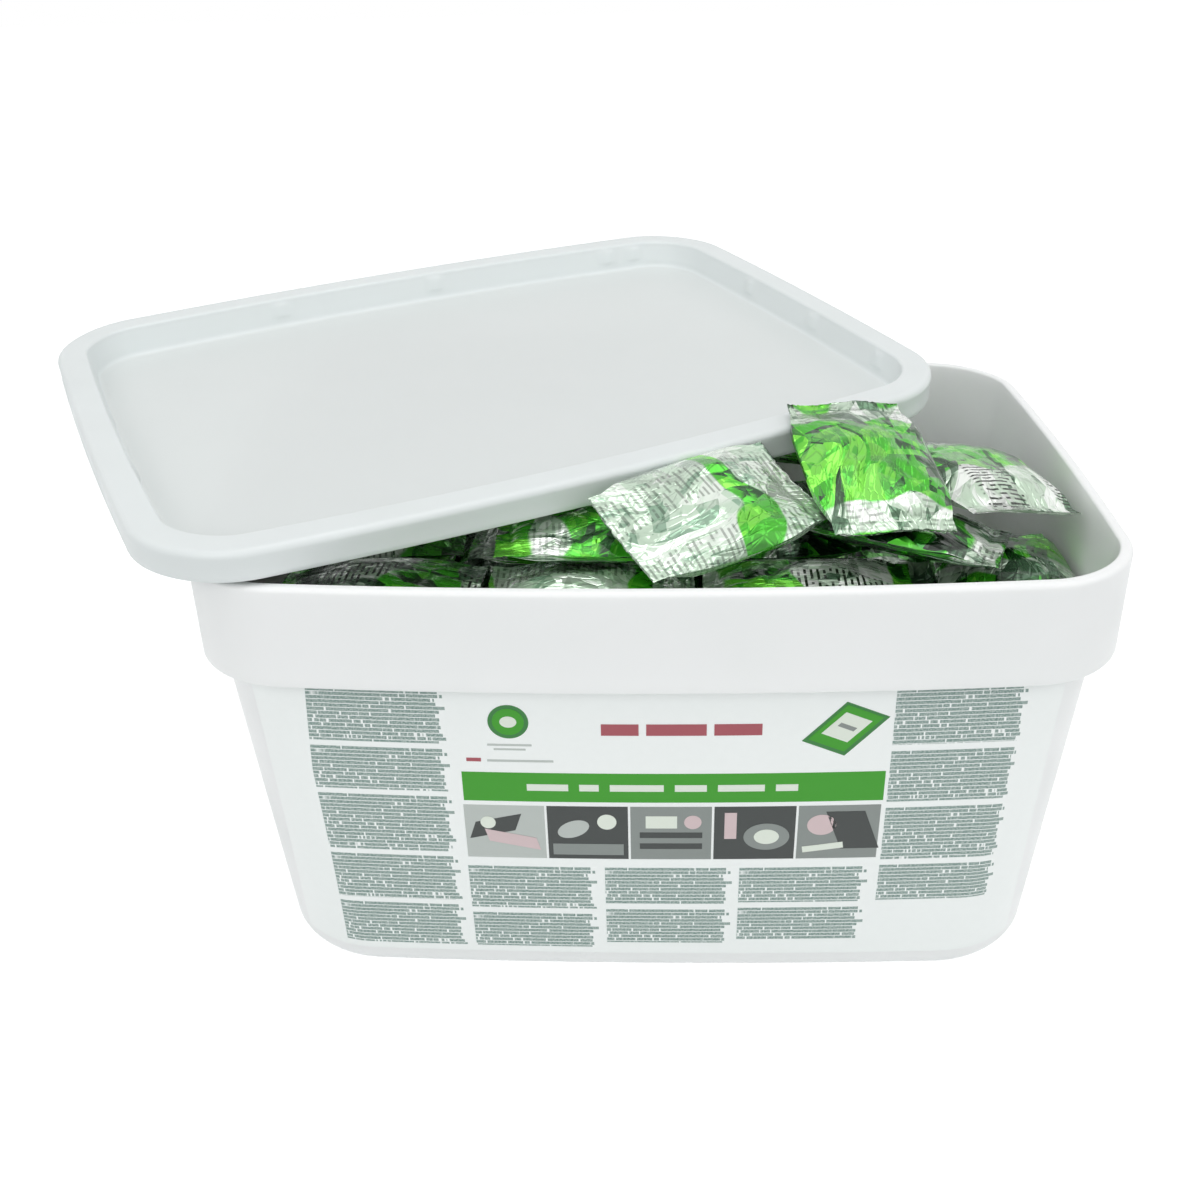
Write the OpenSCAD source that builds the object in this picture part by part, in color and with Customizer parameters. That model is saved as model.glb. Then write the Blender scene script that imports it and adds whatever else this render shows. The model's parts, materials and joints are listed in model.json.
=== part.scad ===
// Plastic tub with a loose lid, filled with cleaning tablets in sealed film sachets.
// Millimetres. The origin is the centre of the base, on the surface that the tub stands on.
// +X points right, +Y to the back and +Z up. The lid lies askew on the rim and on the sachets.

/* [Tub] */
// Width across the rim, left to right, at the middle of the short sides
tub_w = 380; // [360:1:470]
// Depth across the rim, front to back, at the middle of the long sides
tub_d = 280; // [265:1:345]
// Height from the surface it stands on to the top of the rim
tub_h = 199; // [190:1:245]
// Radius of the rim's corners, at the collar's outer face
corner_r = 38; // [30:0.5:50]
// Radius of the base's corners
base_corner_r = 45; // [36:0.5:55]
// How far the middle of each long side bows outwards at the rim
long_bow = 9; // [0:0.5:12]
// How far the middle of each long side bows outwards at the base
base_bow = 4.5; // [0:0.5:10]
// How far the middle of each short side bows outwards
short_bow = 3.5; // [0:0.5:8]
// Thickness of the moulded wall and of the collar
wall = 1.8; // [1.4:0.1:2.4]
// Thickness of the floor
floor_t = 2; // [1.5:0.1:3]

/* [Rim, collar and base] */
// Width of the rim's flat top, from the collar's face to the inner wall
rim_w = 5; // [4.4:0.1:7]
// Thickness of the rim, top to underside
rim_t = 3; // [2:0.1:4]
// Depth of the collar that hangs from the rim
collar_h = 44; // [30:0.5:56]
// Step from the collar's face in to the body wall, at the collar's lower edge
collar_step = 8.2; // [7:0.1:11]
// How much further in the body wall stands at the base
body_taper = 8.2; // [4:0.1:12]
// Radius of the rim's outer edge
rim_edge_r = 2; // [1:0.1:2.5]
// Radius of the base's outer edge
base_edge_r = 6; // [3:0.5:9]
// Radius between the inner wall and the floor
floor_edge_r = 5; // [3:0.5:8]

/* [Lid] */
// How far the lid's skirt stands outside the collar, all round
lid_over = 2.1; // [1.8:0.1:4]
// Thickness of the lid's wall
lid_t = 1.6; // [1.2:0.1:2.2]
// Height of the skirt, from its lower edge to the top of the ridge
lid_h = 13; // [10:0.5:18]
// Width of the ridge, from the skirt's face to the recess
ridge_w = 14; // [12:0.5:18]
// Depth of the recess below the ridge
recess_h = 15; // [10:0.5:18]
// How much the recess wall leans inwards on its way down
recess_draft = 2; // [0.5:0.1:4]
// Radius of the ridge's outer edge
ridge_edge_r = 3; // [1:0.1:4]
// Radius between the recess wall and the panel
panel_edge_r = 3; // [1:0.1:5]

/* [How the lid lies] */
// Middle of the lid, to the right of the tub's middle
lid_x = -82; // [-90:0.5:-74]
// Middle of the lid, behind the tub's middle
lid_y = 59; // [50:0.5:66]
// Turn of the lid, anticlockwise seen from above
lid_turn = 28.5; // [24:0.5:33]
// Rise of the lid towards its far long side
lid_rise_back = 4.7; // [3:0.1:6]
// Rise of the lid towards its right end
lid_rise_right = 1.5; // [0.5:0.1:2.5]

/* [Label] */
// Height of the label's lower edge
label_low = 10; // [8:0.5:20]
// Clearance between the label's upper edge and the collar's lower edge
label_drop = 3; // [1:0.5:10]
// How far the label goes round each front corner, in degrees
label_turn = 45; // [18:9:63]
// Thickness of the label
label_t = 0.5; // [0.4:0.05:0.8]

/* [Sachets] */
// Length of a sachet over its two crimped ends
sachet_l = 86; // [70:0.5:88]
// Width of a sachet
sachet_w = 60; // [52:0.5:62]
// Thickness of a sachet over the tablet in it
sachet_t = 20; // [17:0.5:21]
// Length of each crimped end
crimp_l = 7; // [5:0.5:9]
// Width of each crimped end
crimp_w = 50; // [44:1:52]
// Thickness of a crimped end
crimp_t = 1; // [0.8:0.1:1.4]
// Depth from the rim down to the top of the packed bed of sachets
bed_drop = 32; // [24:1:40]

/* [Hidden] */
// Clearance between pieces that rest on each other
seat = 0.3;
corner_steps = 10;
long_steps = 10;
short_steps = 6;
collar_z = tub_h - collar_h;
bed_top = tub_h - bed_drop;

// Sachets in the packed bed
bed_layers = round((bed_top - floor_t) / (sachet_t + seat));
bed_pitch = (bed_top - floor_t) / bed_layers;

// Loose sachets on the bed: place of the middle, from the tub's middle, and height over the bed's
// top, then the turn about the vertical, the roll about the long axis and the rise of the right end
HEAP = [
    [-113, -96, 8, -2, 4, 1],
    [-25, -99, 8.5, 1, 2, -1],
    [63, -98, 8.5, -1, 3, 1],
    [148, -66, 3, 87, 0, -3],
    [-126, -34, 9, 2, 2, 2],
    [-38, -34, 8.5, -1, 2, 1],
    [50, -34, 9, 1, 2, 1],
    [-23, -67, 24, 3, -2, -2],
    [23, -79, 38.5, 32, 21, 4],
    [144, -23, 29, -74, -7, 0],
    [124, 62, -7.5, 24, -8, 3],
    [66, 94, 3, -6, -4, -6],
    [-124, 34, 5, 2, 2, 2],
    [-36, 33, 5, -2, 2, 2],
    [-106, 96, 8.5, 1, 2, 1],
    [-81, 60, 31, 28, 5, 20],
    [106, -59, 21, -21, -8, -4],
    [91, -49, 45.5, 99, 3, 17],
];

SACHETS = [for (i = [1:len(HEAP)]) str("sachet_", i)];
LAYERS = [for (i = [1:bed_layers]) str("bed_layer_", i)];

// Outline of the mouldings

CORNERS = [[1, -1], [1, 1], [-1, 1], [-1, -1]];
function corner_point(q, a, hx, hy, r) =
    [CORNERS[q].x * (hx - r) + r * cos(a), CORNERS[q].y * (hy - r) + r * sin(a)];

// Rounded rectangle, anticlockwise from the front right corner
function rounded_rect(hx, hy, r) = [
    for (q = [0:3])
        let (
            start = 90 * (q - 1),
            end = corner_point(q, start + 90, hx, hy, r),
            next = corner_point((q + 1) % 4, start + 90, hx, hy, r),
            steps = q % 2 == 0 ? short_steps : long_steps
        )
        each concat(
            [for (i = [0:corner_steps]) corner_point(q, start + 90 * i / corner_steps, hx, hy, r)],
            [for (i = [1:steps - 1]) end + (next - end) * i / steps]
        )
];

// Moves a point outwards by the bow of its side, which fades to nothing at the corners
function bowed(p, hx, hy, long, short) = [
    p.x + sign(p.x) * short * (1 - pow(p.y / hy, 2)) * pow(abs(p.x) / hx, 4),
    p.y + sign(p.y) * long * (1 - pow(p.x / hx, 2)) * pow(abs(p.y) / hy, 4)
];

// Outline of the full width w and depth d, both taken over the bows
function outline(w, d, r, long, short) =
    let (hx = w / 2 - short, hy = d / 2 - long)
    [for (p = rounded_rect(hx, hy, r)) bowed(p, hx, hy, long, short)];

function lifted(points, z) = [for (p = points) [p.x, p.y, z]];

// Closed solid through rings of equally many points. The first and the last ring are capped.
module loft(rings) {
    n = len(rings[0]);
    last = (len(rings) - 1) * n;
    sides = [
        for (k = [0:len(rings) - 2]) for (i = [0:n - 1])
            let (a = k * n + i, b = k * n + (i + 1) % n)
            each [[a, a + n, b + n], [a, b + n, b]]
    ];
    caps = [[for (i = [0:n - 1]) i], [for (i = [n - 1:-1:0]) last + i]];
    polyhedron([for (ring = rings) each ring], concat(caps, sides), convexity = 6);
}

// Tub

// How far the body's outer face stands inside the collar's face at a height
function body_inset(z) =
    z > collar_z
        ? rim_w - wall + (collar_step - rim_w + wall) * (tub_h - z) / collar_h
        : collar_step + body_taper * (1 - z / collar_z);
function body_corner(z) =
    z > collar_z
        ? corner_r - body_inset(z)
        : base_corner_r + (corner_r - collar_step - base_corner_r) * z / collar_z;
function body_bow(z) = base_bow + (long_bow - base_bow) * min(1, z / collar_z);

// Outline of the body at a height, a distance inwards from its outer face
function body_outline(z, inward) =
    let (inset = body_inset(z) + inward)
    outline(tub_w - 2 * inset, tub_d - 2 * inset, body_corner(z) - inward, body_bow(z), short_bow);
function body_ring(z, inward) = lifted(body_outline(z, inward), z);
function collar_ring(z, inward) =
    lifted(outline(tub_w - 2 * inward, tub_d - 2 * inward, corner_r - inward, long_bow, short_bow), z);

lip = 0.5;
rim_inner_r = 1.2;
groove_z = tub_h - rim_t;

base_edge_rings = [
    for (a = [0:30:90]) body_ring(base_edge_r * (1 - cos(a)), base_edge_r * (1 - sin(a)))
];
collar_rings = [
    body_ring(collar_z, 0),
    body_ring(groove_z, 0),
    collar_ring(groove_z, wall),
    collar_ring(collar_z + lip, wall),
    collar_ring(collar_z, wall - lip),
    collar_ring(collar_z, lip),
    collar_ring(collar_z + lip, 0)
];
rim_rings = [
    for (a = [0:30:90])
        collar_ring(tub_h - rim_edge_r * (1 - sin(a)), rim_edge_r * (1 - cos(a))),
    for (a = [90:-45:0])
        collar_ring(tub_h - rim_inner_r * (1 - sin(a)), rim_w - rim_inner_r * (1 - cos(a)))
];
inner_rings = [
    body_ring(collar_z, wall),
    for (a = [0:30:90])
        body_ring(floor_t + floor_edge_r * (1 - sin(a)), wall + floor_edge_r * (1 - cos(a)))
];

module tub() {
    color("whitesmoke")
        loft(concat(base_edge_rings, collar_rings, rim_rings, inner_rings));
}

// Lid, in its own frame: the middle of the skirt's lower edge is at the origin

function lid_outline(inward) =
    outline(
        tub_w + 2 * (lid_over - inward), tub_d + 2 * (lid_over - inward),
        corner_r + lid_over - inward, long_bow, short_bow
    );
function lid_ring(z, inward) = lifted(lid_outline(inward), z);

panel_z = lid_h - recess_h;
panel_inset = ridge_w + recess_draft;
ridge_inner_r = 1.5;

lid_under_rings = [
    lid_ring(panel_z - lid_t, panel_inset + panel_edge_r),
    lid_ring(panel_z - lid_t + 1, panel_inset - lid_t + 1),
    lid_ring(lid_h - lid_t - 1, ridge_w - lid_t),
    lid_ring(lid_h - lid_t, ridge_w - lid_t - 1),
    lid_ring(lid_h - lid_t, lid_t + 1),
    lid_ring(lid_h - lid_t - 1, lid_t),
    lid_ring(lip, lid_t),
    lid_ring(0, lid_t - lip),
    lid_ring(0, lip),
    lid_ring(lip, 0)
];
lid_top_rings = [
    for (a = [0:30:90])
        lid_ring(lid_h - ridge_edge_r * (1 - sin(a)), ridge_edge_r * (1 - cos(a))),
    for (a = [90:-45:0])
        lid_ring(lid_h - ridge_inner_r * (1 - sin(a)), ridge_w - ridge_inner_r * (1 - cos(a))),
    for (a = [0:45:90])
        lid_ring(panel_z + panel_edge_r * (1 - sin(a)), panel_inset + panel_edge_r * (1 - cos(a)))
];

// The lid's plane: height of a point of its own frame over the lid's middle, and back again
function turned(p, a) = [p.x * cos(a) - p.y * sin(a), p.x * sin(a) + p.y * cos(a)];
function lid_slope(p) = p.y * sin(lid_rise_back) + p.x * sin(lid_rise_right);
function in_lid(p) = turned([p.x - lid_x, p.y - lid_y], -lid_turn);

// The panel's underside rests on the rim, so the rim's points under the panel set the lid's height
panel_r = corner_r + lid_over - ridge_w + lid_t;
panel_half = [
    tub_w / 2 + lid_over - ridge_w + lid_t - short_bow, tub_d / 2 + lid_over - ridge_w + lid_t - long_bow
];
function under_panel(q) =
    norm([max(abs(q.x) - panel_half.x + panel_r, 0), max(abs(q.y) - panel_half.y + panel_r, 0)]) < panel_r;
function rim_line(inward) =
    outline(tub_w - 2 * inward, tub_d - 2 * inward, corner_r - inward, long_bow, short_bow);
lid_z = max([
    for (p = concat(rim_line(rim_edge_r), rim_line(rim_w - rim_inner_r)))
        let (q = in_lid(p))
        if (under_panel(q)) tub_h + seat - panel_z + lid_t - lid_slope(q)
]);

module as_lid_lies() {
    translate([lid_x, lid_y, lid_z])
        rotate([0, 0, lid_turn])
            rotate([lid_rise_back, -lid_rise_right, 0])
                children();
}

module lid() {
    color("white") as_lid_lies() loft(concat(lid_under_rings, lid_top_rings));
}

// Label, a sheet bonded round the front of the body

label_rows = 4;
// Clearance behind the label, whose back follows the wall's curve more closely than its facets do
label_seat = 0.4;

// The body's front, from one corner arc to the other, out of an outline's points
label_turns = round(label_turn * corner_steps / 90);
function front_of(points) =
    let (n = len(points))
    [for (i = [n - long_steps - label_turns:n + label_turns]) points[i % n]];

// Line across the front at a height, a distance outside the body's straight-leaning face
function label_line(z, out) =
    let (
        low = front_of(body_outline(base_edge_r, -out)),
        high = front_of(body_outline(collar_z, -out)),
        share = (z - base_edge_r) / (collar_z - base_edge_r)
    )
    [for (i = [0:len(low) - 1]) low[i] + (high[i] - low[i]) * share];

// Closed sheet between two grids of points. Seen from outside, the rows run left to right and follow
// each other upwards, and both faces are split along the same diagonals, so the thickness stays even.
module sheet(outer, inner) {
    rows = len(outer);
    columns = len(outer[0]);
    size = rows * columns;
    cells = [
        for (k = [0:rows - 2]) for (i = [0:columns - 2])
            let (a = k * columns + i, b = a + 1, c = b + columns, d = a + columns)
            each [[a, d, c], [a, c, b], [a + size, c + size, d + size], [a + size, b + size, c + size]]
    ];
    rim = concat(
        [for (i = [0:columns - 1]) i],
        [for (k = [1:rows - 1]) (k + 1) * columns - 1],
        [for (i = [columns - 2:-1:0]) size - columns + i],
        [for (k = [rows - 2:-1:1]) k * columns]
    );
    edges = [
        for (j = [0:len(rim) - 1])
            let (a = rim[j], b = rim[(j + 1) % len(rim)])
            each [[a, b, b + size], [a, b + size, a + size]]
    ];
    polyhedron([for (row = concat(outer, inner)) each row], concat(cells, edges), convexity = 4);
}

module label() {
    top = collar_z - label_drop;
    heights = [for (k = [0:label_rows]) label_low + (top - label_low) * k / label_rows];
    color("honeydew")
        sheet(
            [for (z = heights) lifted(label_line(z, label_seat + label_t), z)],
            [for (z = heights) lifted(label_line(z, label_seat), z)]
        );
}

// Sachets

// Lens of a given width and height, centred
module lens(w, h) {
    r = (w * w / 4 + h * h / 4) / h;
    intersection() {
        translate([0, r - h / 2]) circle(r, $fn = 200);
        translate([0, h / 2 - r]) circle(r, $fn = 200);
    }
}

// Sealed film sachet with one tablet in it, lying flat, its long axis along X
module sachet(t = sachet_t) {
    filled_l = sachet_l - 2 * crimp_l + 2;
    intersection() {
        rotate([90, 0, 0])
            linear_extrude(sachet_w, center = true) lens(filled_l, t);
        rotate([90, 0, 90])
            linear_extrude(filled_l, center = true) lens(sachet_w, t);
    }
    for (end = [-1, 1])
        translate([end * (sachet_l - crimp_l) / 2, 0, 0])
            cube([crimp_l, crimp_w, crimp_t], center = true);
}

// One layer of the packed bed: rows of sachets that lie across the tub, and one row along it
floor_w = tub_w - 2 * (collar_step + body_taper + wall);
floor_d = tub_d - 2 * (collar_step + body_taper + wall);
bed_edge = 5;
// How far the bed's middle lies towards the front, clear of the base's back corners
bed_shift = 2.5;
// The heap falls away to the back right: in the top layer, places whose x and y add up to more than
// slope_line are empty, and each layer below reaches slope_step further
slope_line = 115;
slope_step = 45;
across_count = floor((floor_w - 2 * bed_edge - base_corner_r / 2) / sachet_w);
along_count = floor((floor_w - 2 * bed_edge) / sachet_l);
across_rows = floor((floor_d - 2 * bed_edge - sachet_w) / sachet_l);
bed_d = across_rows * (sachet_l + seat) + sachet_w;
function kept(level, x, y) = x + y < slope_line + slope_step * (bed_layers - 1 - level);

module bed_layer(level) {
    t = bed_pitch - seat;
    color("palegreen")
        translate([0, 0, floor_t + bed_pitch * (level + 0.5)]) {
            for (i = [1:along_count])
                let (
                    x = (i - (along_count + 1) / 2) * (sachet_l + seat),
                    y = -bed_shift - (bed_d - sachet_w) / 2
                )
                if (kept(level, x, y)) translate([x, y, 0]) sachet(t);
            for (i = [1:across_count]) for (j = [1:across_rows])
                let (
                    x = (i - (across_count + 1) / 2) * (sachet_w + seat),
                    y = -bed_shift + bed_d / 2 - (j - 0.5) * (sachet_l + seat)
                )
                if (kept(level, x, y)) translate([x, y, 0]) rotate(90) sachet(t);
        }
}

module heap_sachet(i) {
    s = HEAP[i];
    color(i % 3 == 0 ? "limegreen" : i % 3 == 1 ? "gainsboro" : "darkseagreen")
        translate([s[0], s[1], bed_top + s[2]])
            rotate([0, 0, s[3]]) rotate([s[4], -s[5], 0]) sachet();
}

tub();
lid();
label();
for (i = [0:bed_layers - 1]) bed_layer(i);
for (i = [0:len(HEAP) - 1]) heap_sachet(i);
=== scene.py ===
"""Looks of a white plastic tub of film-wrapped oven cleaning tablets, with its lid lying askew on top.

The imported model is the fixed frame. The tub, the lid, the label and the sachets are drawn here as finer
surfaces in the places of their plain solids: lofts of bowed rounded rectangles for the mouldings, a
wrapped sheet for the label, and creased film tubes for the sachets.
"""

import json
import logging
import math
from dataclasses import dataclass, field, replace
from enum import Enum

import bpy
import numpy as np
from mathutils import Matrix, Vector

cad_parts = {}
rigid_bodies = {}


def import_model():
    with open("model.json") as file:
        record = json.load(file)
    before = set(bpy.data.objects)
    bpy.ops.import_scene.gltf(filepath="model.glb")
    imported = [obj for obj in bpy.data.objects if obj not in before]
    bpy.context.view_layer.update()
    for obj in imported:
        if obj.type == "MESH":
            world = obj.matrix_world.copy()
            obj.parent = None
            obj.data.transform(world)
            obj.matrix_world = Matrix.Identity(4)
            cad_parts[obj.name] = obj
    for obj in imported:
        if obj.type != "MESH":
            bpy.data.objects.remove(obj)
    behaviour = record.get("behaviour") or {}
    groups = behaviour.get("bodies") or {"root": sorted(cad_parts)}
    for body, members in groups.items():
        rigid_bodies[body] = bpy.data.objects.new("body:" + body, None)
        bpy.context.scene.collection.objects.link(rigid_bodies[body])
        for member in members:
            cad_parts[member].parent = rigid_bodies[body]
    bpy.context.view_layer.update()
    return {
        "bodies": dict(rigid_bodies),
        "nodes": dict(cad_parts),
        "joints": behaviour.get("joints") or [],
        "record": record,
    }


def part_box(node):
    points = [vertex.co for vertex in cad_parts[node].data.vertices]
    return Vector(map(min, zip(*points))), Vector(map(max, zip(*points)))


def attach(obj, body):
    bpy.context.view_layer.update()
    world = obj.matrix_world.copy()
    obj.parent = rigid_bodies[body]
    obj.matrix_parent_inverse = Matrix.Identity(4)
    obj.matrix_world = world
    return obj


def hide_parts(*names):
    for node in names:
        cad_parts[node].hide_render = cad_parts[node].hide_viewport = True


MM = 0.001
BODY = "root"
SHARP_DEGREES = 38
MERGE = 0.01 * MM
LOG = logging.getLogger("tablet_tub")

Socket = bpy.types.NodeSocket
Tree = bpy.types.NodeTree


# Colour and nodes


def linear(hex_colour: str) -> tuple[float, float, float, float]:
    """Linear red, green, blue and an alpha of 1 for an sRGB colour such as "5AB41A"."""
    srgb = np.array([int(hex_colour[i:i + 2], 16) for i in (0, 2, 4)]) / 255
    rgb = np.where(srgb <= 0.04045, srgb / 12.92, ((srgb + 0.055) / 1.055) ** 2.4)
    return (*rgb.tolist(), 1.0)


def add(tree: Tree, kind: str, *inputs, out: int = 0, named: dict | None = None, **settings) -> Socket:
    """Adds one node with its settings and links.

    Args:
        tree: the node tree.
        kind: the node's type name after its first word, ShaderNode.
        inputs: sockets to link or values to set, in the order of the node's inputs; None skips one.
        out: which output to return.
        named: the same for inputs given by name or index.
        settings: properties of the node.

    Returns:
        The chosen output socket.
    """
    node = tree.nodes.new(f"ShaderNode{kind}")
    for name, value in settings.items():
        setattr(node, name, value)
    for key, value in [*enumerate(inputs), *(named or {}).items()]:
        if isinstance(value, Socket):
            tree.links.new(value, node.inputs[key])
        elif value is not None:
            node.inputs[key].default_value = value
    return node.outputs[out] if node.outputs else None


def new_material(name: str) -> tuple[bpy.types.Material, Tree]:
    """Makes a material of the given name, and returns it with its emptied node tree."""
    material = bpy.data.materials.new(name)
    material.use_nodes = True
    material.node_tree.nodes.clear()
    return material, material.node_tree


def mixed(tree: Tree, share: Socket | float, a, b) -> Socket:
    """Colour a where share is 0 and colour b where it is 1."""
    return add(tree, "Mix", out=2, named={0: share, 6: a, 7: b}, data_type="RGBA")


def ramped(tree: Tree, value: Socket, low: float, high: float, *ends: float) -> Socket:
    """Value moved smoothly from the range low to high to the range between the ends, or else to 0 to 1."""
    return add(tree, "MapRange", value, low, high, *(ends or (0.0, 1.0)), interpolation_type="SMOOTHSTEP")


def calc(tree: Tree, operation: str, *values) -> Socket:
    """Result of one operation on numbers, such as FLOOR or MULTIPLY."""
    return add(tree, "Math", *values, operation=operation)


def vector(tree: Tree, operation: str, *values, out: int = 0) -> Socket:
    """Result of one operation on vectors."""
    return add(tree, "VectorMath", *values, out=out, operation=operation)


def noise(tree: Tree, place: Socket, scale: float, detail: float, out: int = 0) -> Socket:
    """Soft noise at a place: a number, or a colour from the second output."""
    return add(tree, "TexNoise", place, named={"Scale": scale, "Detail": detail}, out=out)


def surfaced(material: bpy.types.Material, **inputs) -> bpy.types.Material:
    """Gives a material its surface shader.

    Args:
        material: a material with no output yet.
        inputs: values or sockets of the shader, by the inputs' names with underscores.

    Returns:
        The same material.
    """
    tree = material.node_tree
    named = {name.replace("_", " "): value for name, value in inputs.items()}
    add(tree, "OutputMaterial", add(tree, "BsdfPrincipled", named=named))
    return material


# Meshes


def make_object(name: str, verts: np.ndarray, faces: list, uv: np.ndarray | None = None) -> bpy.types.Object:
    """Makes a mesh object at the origin.

    Args:
        name: the piece's name.
        verts: (n, 3) places in metres.
        faces: lists of vertex indices, turned outwards.
        uv: (n, 2) coordinates of the vertices, or None.

    Returns:
        The object, smooth shaded, with sharp edges where its faces meet at a wide angle.
    """
    mesh = bpy.data.meshes.new(name)
    mesh.from_pydata(verts.reshape(-1, 3).tolist(), [], faces)
    mesh.shade_smooth()
    mesh.set_sharp_from_angle(angle=math.radians(SHARP_DEGREES))
    if uv is not None:
        index = np.zeros(len(mesh.loops), np.int32)
        mesh.loops.foreach_get("vertex_index", index)
        layer = mesh.uv_layers.new(name="UVMap")
        layer.data.foreach_set("uv", uv.reshape(-1, 2)[index].astype(np.float32).ravel())
    piece = bpy.data.objects.new(name, mesh)
    bpy.context.scene.collection.objects.link(piece)
    return piece


def ring_faces(rings: int, around: int) -> list:
    """Faces of a closed loft through rings of points that run anticlockwise seen from its far end.

    Args:
        rings: how many rings.
        around: how many points in each.

    Returns:
        Quads between the rings and a cap at each end.
    """
    k, i = np.meshgrid(np.arange(rings - 1), np.arange(around), indexing="ij")
    a, b = k * around + i, k * around + (i + 1) % around
    sides = np.stack([a, b, b + around, a + around], -1).reshape(-1, 4).tolist()
    last = (rings - 1) * around
    return sides + [list(range(around - 1, -1, -1)), list(range(last, last + around))]


def sheet_faces(rows: int, columns: int, start: int = 0) -> list:
    """Faces of a closed thin sheet: a front grid, a back grid behind it and the edge that joins them.

    Args:
        rows: rows of each grid.
        columns: columns of each grid.
        start: index of the front grid's first vertex; the back grid follows the front.

    Returns:
        Quads of the front, of the back turned the other way, and of the rim.
    """
    r, c = np.meshgrid(np.arange(rows - 1), np.arange(columns - 1), indexing="ij")
    a = start + r * columns + c
    front = np.stack([a, a + 1, a + columns + 1, a + columns], -1).reshape(-1, 4)
    size = rows * columns
    back = front[:, ::-1] + size
    edge = np.concatenate([
        np.arange(columns), np.arange(1, rows) * columns + columns - 1,
        (rows - 1) * columns + np.arange(columns - 2, -1, -1), np.arange(rows - 2, 0, -1) * columns,
    ]) + start
    following = np.roll(edge, -1)
    rim = np.stack([edge, edge + size, following + size, following], -1)
    return np.concatenate([front, back, rim]).tolist()


# The mouldings' outline


@dataclass(frozen=True)
class OutlinePattern:
    """Points round a rounded rectangle, as shares of its sides and directions on its corners."""

    corner_steps: int = 20
    long_steps: int = 120
    short_steps: int = 84

    def terms(self) -> tuple[np.ndarray, ...]:
        """Corner multipliers and arc directions of every point, anticlockwise from the front right corner.

        Returns:
            Arrays cx, cy, cos and sin: a point is (cx (hx - r) + r cos, cy (hy - r) + r sin).
        """
        corners = np.array([[1, -1], [1, 1], [-1, 1], [-1, -1]], float)
        parts = []
        for q in range(4):
            angle = np.radians(90 * (q - 1) + 90 * np.arange(self.corner_steps + 1) / self.corner_steps)
            steps = self.short_steps if q % 2 == 0 else self.long_steps
            share = (np.arange(1, steps) / steps)[:, None]
            along = corners[q] + (corners[(q + 1) % 4] - corners[q]) * share
            corner = np.tile(corners[q], (len(angle), 1))
            parts.append(np.column_stack([corner, np.cos(angle), np.sin(angle)]))
            end = [np.cos(angle[-1]), np.sin(angle[-1])]
            parts.append(np.column_stack([along, np.tile(end, (len(along), 1))]))
        return tuple(np.concatenate(parts).T)

    def rings(self, rows: np.ndarray) -> np.ndarray:
        """Bowed outlines at given heights.

        Args:
            rows: (k, 6) rows of height, width, depth, corner radius, long bow and short bow, in mm.

        Returns:
            (k, n, 3) points in mm. Each side stands out by its bow times one minus the square of the
            place along it, which fades towards the middle of the outline with the fourth power.
        """
        cx, cy, cos, sin = self.terms()
        z, width, depth, r, long_bow, short_bow = (rows[:, j, None] for j in range(6))
        hx, hy = width / 2 - short_bow, depth / 2 - long_bow
        x, y = cx * (hx - r) + cos * r, cy * (hy - r) + sin * r
        out_x = np.sign(x) * short_bow * (1 - (y / hy) ** 2) * (np.abs(x) / hx) ** 4
        out_y = np.sign(y) * long_bow * (1 - (x / hx) ** 2) * (np.abs(y) / hy) ** 4
        return np.stack([x + out_x, y + out_y, np.broadcast_to(z, x.shape)], -1)


def closing_rings(ring: np.ndarray, shares: np.ndarray, dish: float) -> np.ndarray:
    """Rings that close a ring in its plane towards its middle.

    Args:
        ring: (n, 3) points.
        shares: how large each ring is, as a share of the given one.
        dish: how much the middle lies below the edge, in the ring's units.

    Returns:
        (k, n, 3) points: the ring shrunk by each share, lowered by dish times one minus its square.
    """
    middle = ring.mean(0)
    rings = middle + (ring - middle) * shares[:, None, None]
    rings[..., 2] -= dish * (1 - shares[:, None] ** 2)
    return rings


def arc(start: float, end: float, steps: int) -> np.ndarray:
    """Angles in radians from start to end, both given in degrees."""
    return np.radians(np.linspace(start, end, steps))


def rounded(z: float, inward: float, rise: float, reach: float, angles: np.ndarray) -> tuple:
    """Heights and distances on a rounded edge: z where the angle is 90, and inward where it is 0."""
    return z + rise * (1 - np.sin(angles)), inward + reach * (1 - np.cos(angles))


def as_rows(*columns) -> np.ndarray:
    """Rows of numbers from columns, some of which may hold one number for all rows."""
    return np.stack(np.broadcast_arrays(*columns), -1)


def matched(z, inward) -> list:
    """Heights as an array, and distances inwards made as long."""
    return np.broadcast_arrays(np.atleast_1d(np.asarray(z, float)), inward)


# The tub


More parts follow.
